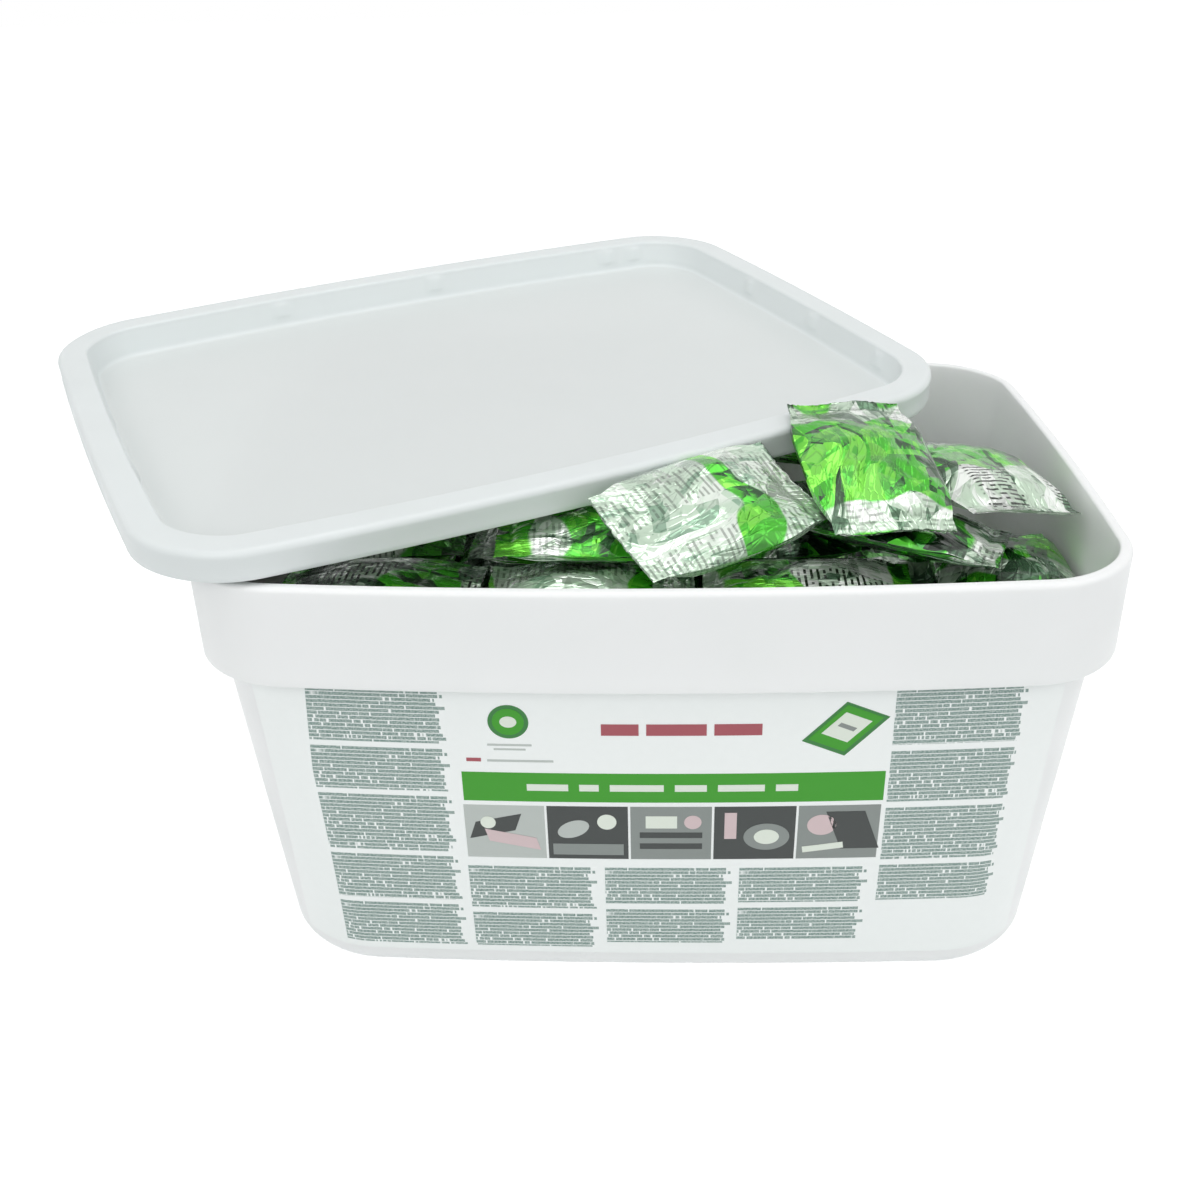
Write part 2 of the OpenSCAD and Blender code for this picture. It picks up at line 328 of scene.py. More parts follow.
@dataclass(frozen=True)
class Tub:
    """The tub's moulding: a tapered body under a collar that hangs from its rim. Sizes in mm."""

    width: float
    depth: float
    height: float
    corner_r: float = 38.0
    base_corner_r: float = 45.0
    long_bow: float = 9.0
    base_bow: float = 4.5
    short_bow: float = 3.5
    wall: float = 1.8
    floor_t: float = 2.0
    rim_w: float = 5.0
    rim_t: float = 3.0
    collar_h: float = 44.0
    collar_step: float = 8.2
    body_taper: float = 8.2
    rim_edge_r: float = 2.0
    rim_inner_r: float = 1.2
    base_edge_r: float = 6.0
    floor_edge_r: float = 5.0

    @property
    def collar_z(self) -> float:
        """Height of the collar's lower edge."""
        return self.height - self.collar_h

    def body_rows(self, z, inward) -> np.ndarray:
        """Outline rows of the body at heights z, each a distance inwards from its outer face.

        Args:
            z: heights in mm.
            inward: distances in mm, as many as the heights or one for all.

        Returns:
            (k, 6) rows for OutlinePattern.rings.
        """
        z, inward = matched(z, inward)
        step = self.rim_w - self.wall
        under_rim = step + (self.collar_step - step) * (self.height - z) / self.collar_h
        below = self.collar_step + self.body_taper * (1 - z / self.collar_z)
        inset = np.where(z > self.collar_z, under_rim, below)
        high_r = self.corner_r - self.collar_step
        low_r = self.base_corner_r + (high_r - self.base_corner_r) * z / self.collar_z
        corner = np.where(z > self.collar_z, self.corner_r - inset, low_r)
        bow = self.base_bow + (self.long_bow - self.base_bow) * np.minimum(1, z / self.collar_z)
        away = 2 * (inset + inward)
        return as_rows(z, self.width - away, self.depth - away, corner - inward, bow, self.short_bow)

    def collar_rows(self, z, inward) -> np.ndarray:
        """Outline rows of the collar and rim, as body_rows gives them for the body."""
        z, inward = matched(z, inward)
        away = 2 * inward
        return as_rows(
            z, self.width - away, self.depth - away, self.corner_r - inward, self.long_bow, self.short_bow
        )

    def profile(self) -> np.ndarray:
        """Rows from the edge of the underside, up the outside, over the rim and down to the floor."""
        base, lip = arc(0, 90, 9), arc(-90, 90, 7)
        edge, inner = arc(0, 90, 8), arc(90, 0, 5)
        groove_z, half_wall = self.height - self.rim_t, self.wall / 2
        floor_z = self.floor_t + self.floor_edge_r
        walls = np.linspace(self.base_edge_r, self.collar_z, 20)[1:]
        return np.concatenate([
            self.body_rows(self.base_edge_r * (1 - np.cos(base)), self.base_edge_r * (1 - np.sin(base))),
            self.body_rows(walls, 0),
            self.body_rows([groove_z - 1, groove_z], 0),
            self.collar_rows([groove_z, groove_z - 1, self.collar_z + half_wall + 6], self.wall),
            self.collar_rows(
                self.collar_z + half_wall - half_wall * np.cos(lip), half_wall - half_wall * np.sin(lip)
            ),
            self.collar_rows(np.linspace(self.collar_z + 4, self.height - self.rim_edge_r - 1, 9), 0),
            self.collar_rows(*rounded(self.height, 0, -self.rim_edge_r, self.rim_edge_r, edge)),
            self.collar_rows(*rounded(self.height, self.rim_w, -self.rim_inner_r, -self.rim_inner_r, inner)),
            self.body_rows(np.linspace(self.height - 4, self.collar_z + 0.01, 8), self.wall),
            self.body_rows(np.linspace(self.collar_z - 4, floor_z + 2, 16), self.wall),
            self.body_rows(*rounded(self.floor_t, self.wall, self.floor_edge_r, self.floor_edge_r, edge)),
        ])

    def build(self, pattern: OutlinePattern) -> bpy.types.Object:
        """Builds the tub, in metres, round the given outline."""
        rings = pattern.rings(self.profile())
        shares = np.array([0.82, 0.6, 0.36, 0.14])
        below = closing_rings(rings[0], shares[::-1], -0.3)
        floor = closing_rings(rings[-1], shares, -0.3)
        rings = np.concatenate([below, rings, floor])
        return make_object("tub_shell", rings * MM, ring_faces(*rings.shape[:2]))

    def front_place(self, u: np.ndarray, z: np.ndarray, out: float) -> np.ndarray:
        """Places on the front of the body.

        Args:
            u: distances to the right of the middle, measured along the outline, in mm.
            z: heights in mm.
            out: how far outside the body's face, in mm.

        Returns:
            Points in mm. The outline at a height is the straight mix of the outlines at the base's edge
            and at the collar, so a point's place along it is the same mix of its places on those two.
        """
        pattern = OutlinePattern(corner_steps=48, long_steps=120)
        low, high = pattern.rings(self.body_rows([self.base_edge_r, self.collar_z], -out))[..., :2]
        turn = pattern.corner_steps
        first = len(low) - pattern.long_steps - turn
        low, high = (np.concatenate([line[first:], line[:turn + 1]]) for line in (low, high))
        mark = np.linspace(-1, 1, len(low))
        share = (z - self.base_edge_r) / (self.collar_z - self.base_edge_r)
        lengths = []
        for line in (low, high):
            run = np.concatenate([[0], np.cumsum(np.hypot(*np.diff(line, axis=0).T))])
            lengths.append(run - run[-1] / 2)
        place = (1 - share) * np.interp(u, lengths[0], mark) + share * np.interp(u, lengths[1], mark)
        xy = [
            (1 - share) * np.interp(place, mark, low[:, j]) + share * np.interp(place, mark, high[:, j])
            for j in (0, 1)
        ]
        return np.stack([*xy, z], -1)


# The lid


@dataclass(frozen=True)
class Lid:
    """The lid's moulding: a skirt, a hollow ridge and a recessed panel, lying askew. Sizes in mm."""

    tub: Tub
    over: float = 2.1
    wall: float = 1.6
    height: float = 13.0
    ridge_w: float = 14.0
    recess_h: float = 15.0
    recess_draft: float = 2.0
    ridge_edge_r: float = 3.0
    ridge_inner_r: float = 1.5
    panel_edge_r: float = 3.0
    lip: float = 0.5
    x: float = -82.0
    y: float = 59.0
    turn: float = 28.5
    rise_back: float = 4.7
    rise_right: float = 1.5
    wall_steps: int = 14
    foot_rings: int = 7
    lug_w: float = 9.0
    lug_out: float = 1.1
    # Side that the lug is on, 0 for a short one and 1 for a long one, and its place along it
    lug_places: tuple[tuple[int, float], ...] = (
        (0, 38.0), (0, -24.0), (0, -84.0), (1, 145.0), (1, 128.0), (1, 20.0), (1, -70.0),
    )

    def rows(self, z, inward) -> np.ndarray:
        """Outline rows at heights z over the skirt's lower edge, a distance inwards from its face."""
        z, inward = matched(z, inward)
        grow = 2 * (self.over - inward)
        tub = self.tub
        corner = tub.corner_r + self.over - inward
        return as_rows(z, tub.width + grow, tub.depth + grow, corner, tub.long_bow, tub.short_bow)

    def profile(self) -> np.ndarray:
        """Rows from the panel's underside, out through the channel, round the skirt and in to the panel."""
        under, top = self.height - self.wall, self.height
        panel_z, inset = self.height - self.recess_h, self.ridge_w + self.recess_draft
        channel = self.ridge_w - self.wall
        edge, inner, foot, bend = arc(0, 90, 9), arc(90, 0, 6), arc(0, 90, self.foot_rings), arc(90, 0, 5)
        return np.concatenate([
            self.rows(panel_z - self.wall, inset + self.panel_edge_r),
            self.rows(*rounded(panel_z - self.wall, inset - self.wall + 1, 1, 1, bend)),
            self.rows(
                np.linspace(panel_z + 2, under - 2.2, 4),
                np.linspace(inset - 0.2, self.ridge_w + 0.1, 4) - self.wall,
            ),
            self.rows([under - 1, under, under], [channel, channel - 1, self.wall + 1]),
            self.rows([under - 1, 4, self.lip], self.wall),
            self.rows([0.12, 0, 0, 0.12], [self.wall - 0.15, self.wall - self.lip, self.lip, 0.12]),
            self.rows([self.lip, 1.6, 2.2, 3.0, 6.0, 9.0], [0, 0, 0, 0.15, 0.15, 0.08]),
            self.rows(*rounded(top, 0, -self.ridge_edge_r, self.ridge_edge_r, edge)),
            self.rows(*rounded(top, self.ridge_w, -self.ridge_inner_r, -self.ridge_inner_r, inner)),
            self.rows(
                np.linspace(top - 2.5, panel_z + self.panel_edge_r + 1, self.wall_steps),
                np.linspace(self.ridge_w + 0.1, inset - 0.1, self.wall_steps),
            ),
            self.rows(*rounded(panel_z, inset, self.panel_edge_r, self.panel_edge_r, foot)),
        ])

    def with_lugs(self, rings: np.ndarray) -> np.ndarray:
        """Pushes small lugs, which keep stacked lids apart, inwards out of the recess wall.

        Args:
            rings: (k, n, 3) points of the wall in the lid's own frame.

        Returns:
            The points, each moved inwards by the lug's depth times a flat-topped bump along the wall and
            another down it. Every lug has a twin half a turn round the lid.
        """
        depth = (self.height - rings[..., 2]) / self.recess_h
        down = np.clip(1 - ((depth - 0.4) / 0.3) ** 4, 0, 1)
        half = (self.tub.width / 2, self.tub.depth / 2)
        moved = rings.copy()
        for axis, place in self.lug_places:
            for side in (1, -1):
                beside = (rings[..., 1 - axis] - side * place) / (self.lug_w / 2)
                on_side = side * rings[..., axis] > 0.75 * half[axis]
                moved[..., axis] -= side * self.lug_out * np.clip(1 - beside ** 4, 0, 1) * down * on_side
        return moved

    def build(self, pattern: OutlinePattern, top_z: float) -> bpy.types.Object:
        """Builds the lid where it lies.

        Args:
            pattern: the outline's points.
            top_z: height of its highest point, in metres, to which it is set.

        Returns:
            The piece, with a UV whose first number is 1 on the panel, which its material darkens as painted
            shade, and 0 elsewhere.
        """
        rings = pattern.rings(self.profile())
        wall = slice(-self.wall_steps - self.foot_rings, -self.foot_rings)
        rings[wall] = self.with_lugs(rings[wall])
        shares = np.array([0.985, 0.93, 0.8, 0.6, 0.36, 0.14])
        below = closing_rings(rings[0], shares[::-1], 0.0)
        panel = closing_rings(rings[-1], shares, 0.5)
        rings = np.concatenate([below, rings, panel])
        painted_shade_panel = rings[..., 2] < self.height - self.recess_h + 0.6
        points = rings.reshape(-1, 3) @ self.turning().T
        points += np.array([self.x, self.y, top_z / MM - points[:, 2].max()])
        uv = np.stack([painted_shade_panel, np.zeros_like(painted_shade_panel)], -1).astype(float)
        return make_object("lid_shell", points * MM, ring_faces(*rings.shape[:2]), uv)

    def turning(self) -> np.ndarray:
        """Rotation of the lid: its rise to the right, then to the back, then its turn on the tub."""
        rise = Matrix.Rotation(-math.radians(self.rise_right), 3, "Y")
        tilt = Matrix.Rotation(math.radians(self.rise_back), 3, "X")
        turn = Matrix.Rotation(math.radians(self.turn), 3, "Z")
        return np.array(turn @ tilt @ rise)


# The label


class Ink(Enum):
    """What a field of the label is printed with: its material's name and its colour."""

    PAPER = ("label_film", "FBFFFE")
    GREEN = ("green_ink", "309A00")
    DEEP_GREEN = ("deep_green_ink", "2B7A33")
    PALE = ("pale_ink", "E8F0E4")
    RED = ("dull_red_ink", "A8505A")
    TEXT = ("greeked_text", "6F8C84")
    GREY = ("mid_grey_ink", "8A918E")
    DARK = ("dark_grey_ink", "363B3A")
    LIGHT = ("light_grey_ink", "BFC6C2")
    PINK = ("pinkish_grey_ink", "D9C4C6")


def turned_about(u: float, z: float, degrees: float, a: np.ndarray, b: np.ndarray) -> tuple:
    """Places at a and b from the point u, z, turned about it."""
    cos, sin = math.cos(math.radians(degrees)), math.sin(math.radians(degrees))
    return u + a * cos - b * sin, z + a * sin + b * cos


@dataclass(frozen=True)
class Bar:
    """A field with straight sides on the label: its middle and sizes in mm, its lean and its ink."""

    u: float
    z: float
    width: float
    height: float
    ink: Ink
    lean: float = 0.0
    turn: float = 0.0
    level: int = 1

    def places(self, steps: int = 14) -> tuple[np.ndarray, np.ndarray]:
        """Grid of label coordinates: a rectangle, leant sideways by lean and then turned."""
        s, t = np.meshgrid(np.linspace(-0.5, 0.5, steps), np.linspace(-0.5, 0.5, 8))
        return turned_about(self.u, self.z, self.turn, s * self.width + self.lean * t, t * self.height)


def bar_row(u: float, z: float, widths: tuple, gap: float, height: float, ink: Ink, level: int) -> list:
    """Bars of the given widths in a row that starts at u, with gaps between them."""
    bars = []
    for width in widths:
        bars.append(Bar(u + width / 2, z, width, height, ink, level=level))
        u += width + gap
    return bars


@dataclass(frozen=True)
class Spot:
    """An elliptical field on the label: its middle, radii in mm and its ink."""

    u: float
    z: float
    radius: float
    ink: Ink
    squash: float = 1.0
    turn: float = 0.0
    level: int = 1

    def places(self, steps: int = 15) -> tuple[np.ndarray, np.ndarray]:
        """Grid of label coordinates: a square drawn out to a disc, with no pole."""
        s, t = np.meshgrid(np.linspace(-1, 1, steps), np.linspace(-1, 1, steps))
        a = self.radius * s * np.sqrt(1 - t * t / 2)
        b = self.radius * self.squash * t * np.sqrt(1 - s * s / 2)
        return turned_about(self.u, self.z, self.turn, a, b)


@dataclass(frozen=True)
class TextBlock:
    """A column of greeked print: its left and right sides and its top in mm, and its paragraphs."""

    left: float
    right: float
    top: float
    paragraphs: tuple[float, ...]
    gap: float = 3.0


@dataclass
class Label:
    """The printed film round the front of the body. Sizes in mm."""

    tub: Tub
    low: float = 10.0
    drop: float = 3.0
    reach: float = 164.0
    grid: tuple[int, int] = (150, 30)
    film_t: float = 0.25
    gap: float = 0.1
    lift: float = 0.08
    verts: list = field(default_factory=list)
    uvs: list = field(default_factory=list)
    faces: list = field(default_factory=list)
    inks: list = field(default_factory=list)
    count: int = 0

    @property
    def face(self) -> float:
        """How far the film's face stands outside the body: its thickness and a gap."""
        return self.film_t + self.gap

    def lay(self, u: np.ndarray, z: np.ndarray, uv: np.ndarray, ink: Ink, out: float, thick: float) -> None:
        """Adds a closed thin sheet that follows the body.

        Args:
            u: grid of distances right of the middle.
            z: grid of heights.
            uv: grid of print coordinates.
            ink: what it is printed with.
            out: how far its face stands outside the body.
            thick: its thickness.
        """
        rows, columns = u.shape
        front = self.tub.front_place(u, z, out)
        back = self.tub.front_place(u, z, out - thick)
        faces = sheet_faces(rows, columns, self.count)
        self.verts += [front.reshape(-1, 3), back.reshape(-1, 3)]
        self.uvs += [uv.reshape(-1, 2)] * 2
        self.faces += faces
        self.inks += [list(Ink).index(ink)] * len(faces)
        self.count += 2 * rows * columns

    def lay_base(self) -> None:
        """Adds the film itself, from corner to corner."""
        across = np.linspace(-self.reach, self.reach, self.grid[0])
        u, z = np.meshgrid(across, np.linspace(self.low, self.tub.collar_z - self.drop, self.grid[1]))
        self.lay(u, z, np.stack([u, z], -1) / 100, Ink.PAPER, self.face, self.film_t)

    def lay_field(self, shape: Bar | Spot) -> None:
        """Adds one flat field of print."""
        u, z = shape.places()
        self.lay(u, z, np.stack([u, z], -1) / 100, shape.ink, self.face + self.lift * shape.level, self.lift)

    def lay_text(self, block: TextBlock) -> None:
        """Adds a column of greeked print, one sheet for each paragraph.

        The print coordinates run from the paragraph's right edge and from its top.
        """
        top = block.top
        for tall in block.paragraphs:
            u, z = np.meshgrid(np.linspace(block.left, block.right, 16), np.linspace(top - tall, top, 8))
            uv = np.stack([block.right - u, top - z], -1) / 10
            self.lay(u, z, uv, Ink.TEXT, self.face + self.lift, self.lift)
            top -= tall + block.gap

    def fields(self) -> list:
        """The label's fields: a green band with pale bars, a badge, and five small grey pictures."""
        band_z, band_w, middle = 103.5, 172.0, 7.5
        shapes = [Bar(middle, band_z, band_w, 15.0, Ink.GREEN)]
        shapes += bar_row(-52.0, band_z, (17, 8, 22, 13, 19, 9), 4.5, 3.4, Ink.PALE, 2)
        shapes += [
            Spot(-58, 136.5, 8.2, Ink.DEEP_GREEN),
            Spot(-58, 136.5, 6.4, Ink.GREEN, level=2),
            Spot(-58, 136.5, 3.4, Ink.PALE, squash=0.8, level=3),
            Bar(-58, 125.0, 18, 1.0, Ink.LIGHT), Bar(-58, 122.8, 13, 0.9, Ink.LIGHT),
            Bar(-73, 117.3, 6, 1.8, Ink.RED), Bar(-54, 117.0, 27, 1.1, Ink.LIGHT),
        ]
        shapes += bar_row(-21.0, 133, (15, 24, 19), 3, 5.6, Ink.RED, 1)
        shapes += [
            Bar(76, 132.5, 19, 24, Ink.DEEP_GREEN, lean=8, turn=-24),
            Bar(76, 132.8, 16, 21, Ink.GREEN, lean=7, turn=-24, level=2),
            Bar(76.3, 133.4, 11.5, 13, Ink.PALE, lean=4.5, turn=-24, level=3),
            Bar(76.5, 133.6, 7, 2, Ink.GREY, lean=0.7, turn=-24, level=4),
        ]
        return shapes + self.pictures()

    def pictures(self) -> list:
        """Five small grey pictures in a row, each with plain shapes of its own."""
        left, pitch, width, z, height = -79.0, 34.6, 33.6, 79.5, 28.5
        grounds = (Ink.LIGHT, Ink.DARK, Ink.GREY, Ink.DARK, Ink.GREY)
        mid = [left + pitch * k + width / 2 for k in range(len(grounds))]
        shapes = [Bar(m, z, width, height, ink) for m, ink in zip(mid, grounds)]
        shapes += [
            Bar(mid[0] - 4, z + 3, 20, 8, Ink.DARK, lean=5, turn=14, level=2),
            Bar(mid[0] + 3, z - 4, 22, 6, Ink.PINK, lean=-3, turn=-12, level=3),
            Spot(mid[0] - 7, z + 5, 3.2, Ink.PALE, level=3),
            Bar(mid[1], z - 9, width - 4, 6, Ink.GREY, level=2),
            Spot(mid[1] - 6, z + 2, 7, Ink.LIGHT, squash=0.6, turn=25, level=2),
            Spot(mid[1] + 8, z + 6, 4, Ink.PALE, level=2),
            Bar(mid[2], z - 7, 26, 3, Ink.DARK, level=2), Bar(mid[2], z - 1, 26, 3, Ink.DARK, level=2),
            Bar(mid[2] - 4, z + 6, 13, 6.5, Ink.PALE, level=2),
            Spot(mid[2] + 9, z + 6, 3.6, Ink.PINK, level=2),
            Spot(mid[3] + 5, z - 2, 9.5, Ink.GREY, squash=0.75, level=2),
            Spot(mid[3] + 5, z - 2, 5.2, Ink.PALE, squash=0.75, level=3),
            Bar(mid[3] - 10, z + 4, 5, 14, Ink.PINK, level=2),
            Bar(mid[4] + 6, z + 1, 16, 20, Ink.DARK, lean=-7, level=2),
            Spot(mid[4] - 7, z + 4, 6, Ink.PINK, squash=0.9, level=2),
            Bar(mid[4] - 6, z - 8, 17, 3.2, Ink.PALE, turn=8, level=3),
        ]
        return shapes

    def build(self, materials: dict[Ink, bpy.types.Material]) -> bpy.types.Object:
        """Builds the label with its print, from a material for each ink."""
        self.lay_base()
        for shape in self.fields():
            self.lay_field(shape)
        side = (26, 22, 30, 25, 24)
        small = (24, 20)
        for block in (
            TextBlock(-139, -83, 151, side, 2.6), TextBlock(95, 147, 151, (27, 26, 28, 20)),
            TextBlock(-79.5, -24.5, 60.5, small, 3), TextBlock(-21, 33, 60.5, (21, 20), 3),
            TextBlock(36, 90.5, 60.5, (20, 19), 3),
        ):
            self.lay_text(block)
        verts, uvs = np.concatenate(self.verts), np.concatenate(self.uvs)
        piece = make_object("label_sheet", verts * MM, self.faces, uvs)
        for ink in Ink:
            piece.data.materials.append(materials[ink])
        piece.data.polygons.foreach_set("material_index", np.array(self.inks, np.int32))
        return piece


# The sachets


def triangle_wave(x: np.ndarray) -> np.ndarray:
    """A wave of sharp folds: from -1 to 1 and back once for each unit of x."""
    return 1 - 4 * np.abs(x - np.floor(x) - 0.5)


@dataclass(frozen=True)
class Sachet:
    """A sealed film tube with one tablet in it, crimped at both ends. Sizes in mm."""

    length: float = 86.0
    width: float = 58.0
    thickness: float = 20.0
    crimp_l: float = 7.0
    crimp_w: float = 51.0
    film_edge: float = 0.35
    rib: float = 0.13
    rib_pitch: float = 1.4
    tooth: float = 0.55
    tooth_pitch: float = 2.4
    rings: int = 96
    around: int = 96
    planes: int = 15
    creases: int = 16
    # Powers of the pillow's bow along and across, and the share and height of its tight film
    blunt_along: float = 2.3
    blunt_across: float = 2.6
    tight: float = 0.75
    proud: float = 1.1
    gather: float = 1.15
    fine_gather: float = 0.35

    def fullness(self, x: np.ndarray) -> np.ndarray:
        """Share of the full thickness at places along the sachet, nothing from the crimps outwards."""
        half = self.length / 2 - self.crimp_l
        return np.clip(1 - np.abs(x / half) ** self.blunt_along, 0, 1) ** 0.8

    def dome(self, x: np.ndarray, y: np.ndarray) -> np.ndarray:
        """Height of the smooth pillow over its middle plane: a product of two flat-topped bows."""
        across = np.clip(1 - np.abs(y / (self.width / 2)) ** self.blunt_across, 0, 1) ** 0.85
        return 0.46 * self.thickness * self.fullness(x) * across

    def faceted(self, x: np.ndarray, y: np.ndarray, rng: np.random.Generator) -> np.ndarray:
        """Height of the pillow drawn tight between its creases.

        Args:
            x: places along the sachet.
            y: places across it.
            rng: the sachet's random numbers.

        Returns:
            The least of the planes that touch the dome at random places, mixed with the dome itself.
        """
        reach_x, reach_y = 0.8 * (self.length / 2 - self.crimp_l), 0.8 * self.width / 2
        px = rng.uniform(-reach_x, reach_x, self.planes)
        py = rng.uniform(-reach_y, reach_y, self.planes)
        step = 0.5
        here = self.dome(px, py)
        gx = (self.dome(px + step, py) - self.dome(px - step, py)) / (2 * step)
        gy = (self.dome(px, py + step) - self.dome(px, py - step)) / (2 * step)
        lift = rng.uniform(-0.9, 0.3, self.planes)
        planes = here + lift + gx * (x[..., None] - px) + gy * (y[..., None] - py)
        dome = self.dome(x, y)
        return (1 - self.tight) * dome + self.tight * np.minimum(planes.min(-1), dome + self.proud)

    def crumple(self, x: np.ndarray, y: np.ndarray, rng: np.random.Generator) -> np.ndarray:
        """Sharp folds: gathers that fan out from both crimps, and short straight creases.

        Args:
            x: places along the sachet.
            y: places across it.
            rng: the sachet's random numbers.

        Returns:
            How far the film stands out, in mm. A gather is a triangle wave across the film that fades
            with the distance from the crimp; a crease is a V-shaped groove that fades along its length.
        """
        half = self.length / 2 - self.crimp_l
        out = np.zeros_like(x)
        for end in (-1, 1):
            distance = np.clip(half - end * x, 0, None)
            across = y / (self.width / 2)
            bent = across * (1 + 0.35 * distance / half) + 0.13 * np.sin(5 * across + rng.uniform(0, 6))
            folds = triangle_wave(bent * rng.uniform(2.2, 3.2) + rng.uniform())
            fine = triangle_wave(bent * rng.uniform(5, 7) + rng.uniform())
            fold = self.gather * folds + self.fine_gather * fine
            out += fold * np.exp(-distance / rng.uniform(8, 13)) * (end * x < half)
        for _ in range(self.creases):
            angle = rng.uniform(0, math.pi)
            cx, cy = rng.uniform(-half, half) * 0.9, rng.uniform(-0.45, 0.45) * self.width
            along = (x - cx) * math.cos(angle) + (y - cy) * math.sin(angle)
            beside = (y - cy) * math.cos(angle) - (x - cx) * math.sin(angle)
            groove = np.clip(1 - np.abs(beside + 0.03 * along ** 2 / 4) / rng.uniform(1.6, 4.5), 0, 1)
            out -= rng.uniform(-0.7, 1.3) * groove * np.exp(-2 * (along / rng.uniform(9, 22)) ** 2)
        return out

    def surface(self, seed: int) -> tuple[np.ndarray, np.ndarray]:
        """The film as rings along the sachet.

        Args:
            seed: what its folds are drawn from.

        Returns:
            (rings, around, 3) points in mm, and their print coordinates in units of 100 mm.
        """
        rng = np.random.default_rng(seed)
        half, end = self.length / 2 - self.crimp_l, self.length / 2
        along = np.linspace(-end, end, self.rings)
        turn = 2 * np.pi * np.arange(self.around) / self.around
        x, angle = np.meshgrid(along, turn, indexing="ij")
        pinch = np.clip(np.abs(x) / half, 0, 1) ** 3
        half_w = (self.width + (self.crimp_w - self.width) * pinch) / 2
        side = np.cos(angle)
        y = half_w * np.sign(side) * np.abs(side) ** 0.92
        upper = np.sin(angle) >= 0
        edge_fade = np.clip((1 - np.abs(y) / half_w) * 7, 0, 1)
        full = 0.25 + 0.75 * self.fullness(x)
        top, bottom = (
            self.faceted(x, y, rng) + self.crumple(x, y, rng) * edge_fade * full for _ in range(2)
        )
        film = self.film_edge * np.abs(np.sin(angle)) ** 0.5
        z = np.where(upper, np.maximum(top, film), -np.maximum(bottom, film))
        past = np.clip((np.abs(x) - half) / self.crimp_l, 0, 1)
        waves = np.sin(y / self.crimp_w * rng.uniform(5, 9) + rng.uniform(0, 6)) * rng.uniform(0.5, 1.3)
        z = z + np.where(x > 0, 1, 0.8) * waves * np.clip((np.abs(x) - 0.6 * half) / (0.4 * half), 0, 1)
        z = z + past * rng.uniform(-1.2, 1.2) * np.sign(x)
        z = z + self.rib * triangle_wave(np.abs(x) / self.rib_pitch) * (past > 0)
        at_end = np.abs(x) > end - 1e-6
        teeth = self.tooth * triangle_wave(y / self.tooth_pitch) * at_end
        x = x + np.sign(x) * (teeth - self.tooth * at_end)
        girth = np.where(upper, y, 2 * half_w - y)
        uv = np.stack([x, girth], -1) / 100 + rng.uniform(0, 5, 2)
        return np.stack([x, y, z], -1), uv


def solid_parts(node: bpy.types.Object) -> list[tuple[np.ndarray, np.ndarray]]:
    """Splits a node's mesh into its separate solids.

    Args:
        node: a CAD node's object.

    Returns:
        For each solid its corner triples, (n, 3, 3), sorted by the solids' places.
    """
    mesh = node.data
    mesh.calc_loop_triangles()
    corners = np.zeros(len(mesh.loop_triangles) * 3, np.int32)
    mesh.loop_triangles.foreach_get("vertices", corners)
    places = np.zeros(len(mesh.vertices) * 3, np.float32)
    mesh.vertices.foreach_get("co", places)
    places = places.reshape(-1, 3).astype(float)
    _, merged = np.unique(np.round(places / MERGE).astype(np.int64), axis=0, return_inverse=True)
    triangles = merged.ravel()[corners].reshape(-1, 3)
    label = np.arange(merged.max() + 1)
    while True:
        lowest = label[triangles].min(1)
        before = label.copy()
        for j in range(3):
            np.minimum.at(label, triangles[:, j], lowest)
        label = label[label]
        if np.array_equal(label, before):
            break
    owner = label[triangles[:, 0]]
    points = places[corners].reshape(-1, 3, 3)
    parts = [points[owner == k] for k in np.unique(owner)]
    return sorted(parts, key=lambda p: tuple(np.round(p.mean((0, 1)), 4)))


def solid_pose(triangles: np.ndarray) -> tuple[np.ndarray, np.ndarray, np.ndarray]:
    """Finds how a solid lies.

    Args:
        triangles: (n, 3, 3) corners.

    Returns:
        Its centre of volume, its axes as columns, from the longest to the thinnest and right-handed
        with the third upwards, and its extents along them. The axes are those of the second moments
        of volume, summed over the tetrahedra between the triangles and their middle.
    """
    middle = triangles.mean((0, 1))
    a, b, c = np.moveaxis(triangles - middle, 1, 0)
    volume = np.einsum("ij,ij->i", a, np.cross(b, c)) / 6
    centre = (volume[:, None] * (a + b + c) / 4).sum(0) / volume.sum()
    a, b, c = a - centre, b - centre, c - centre
    volume = np.einsum("ij,ij->i", a, np.cross(b, c)) / 6
    total = a + b + c
    moments = sum(np.einsum("i,ij,ik->jk", volume, p, p) for p in (a, b, c, total)) / 20
    values, axes = np.linalg.eigh(moments)
    axes = axes[:, np.argsort(values)[::-1]]
    main = axes[:, 0]
    leading = main[0] if abs(main[0]) > 0.5 * abs(main[1]) else main[1]
    if leading < 0:
        axes[:, 0] = -main
    if axes[2, 2] < 0:
        axes[:, 2] = -axes[:, 2]
    axes[:, 1] = np.cross(axes[:, 2], axes[:, 0])
    extents = np.ptp((triangles.reshape(-1, 3) - middle - centre) @ axes, axis=0)
    return middle + centre, axes, extents


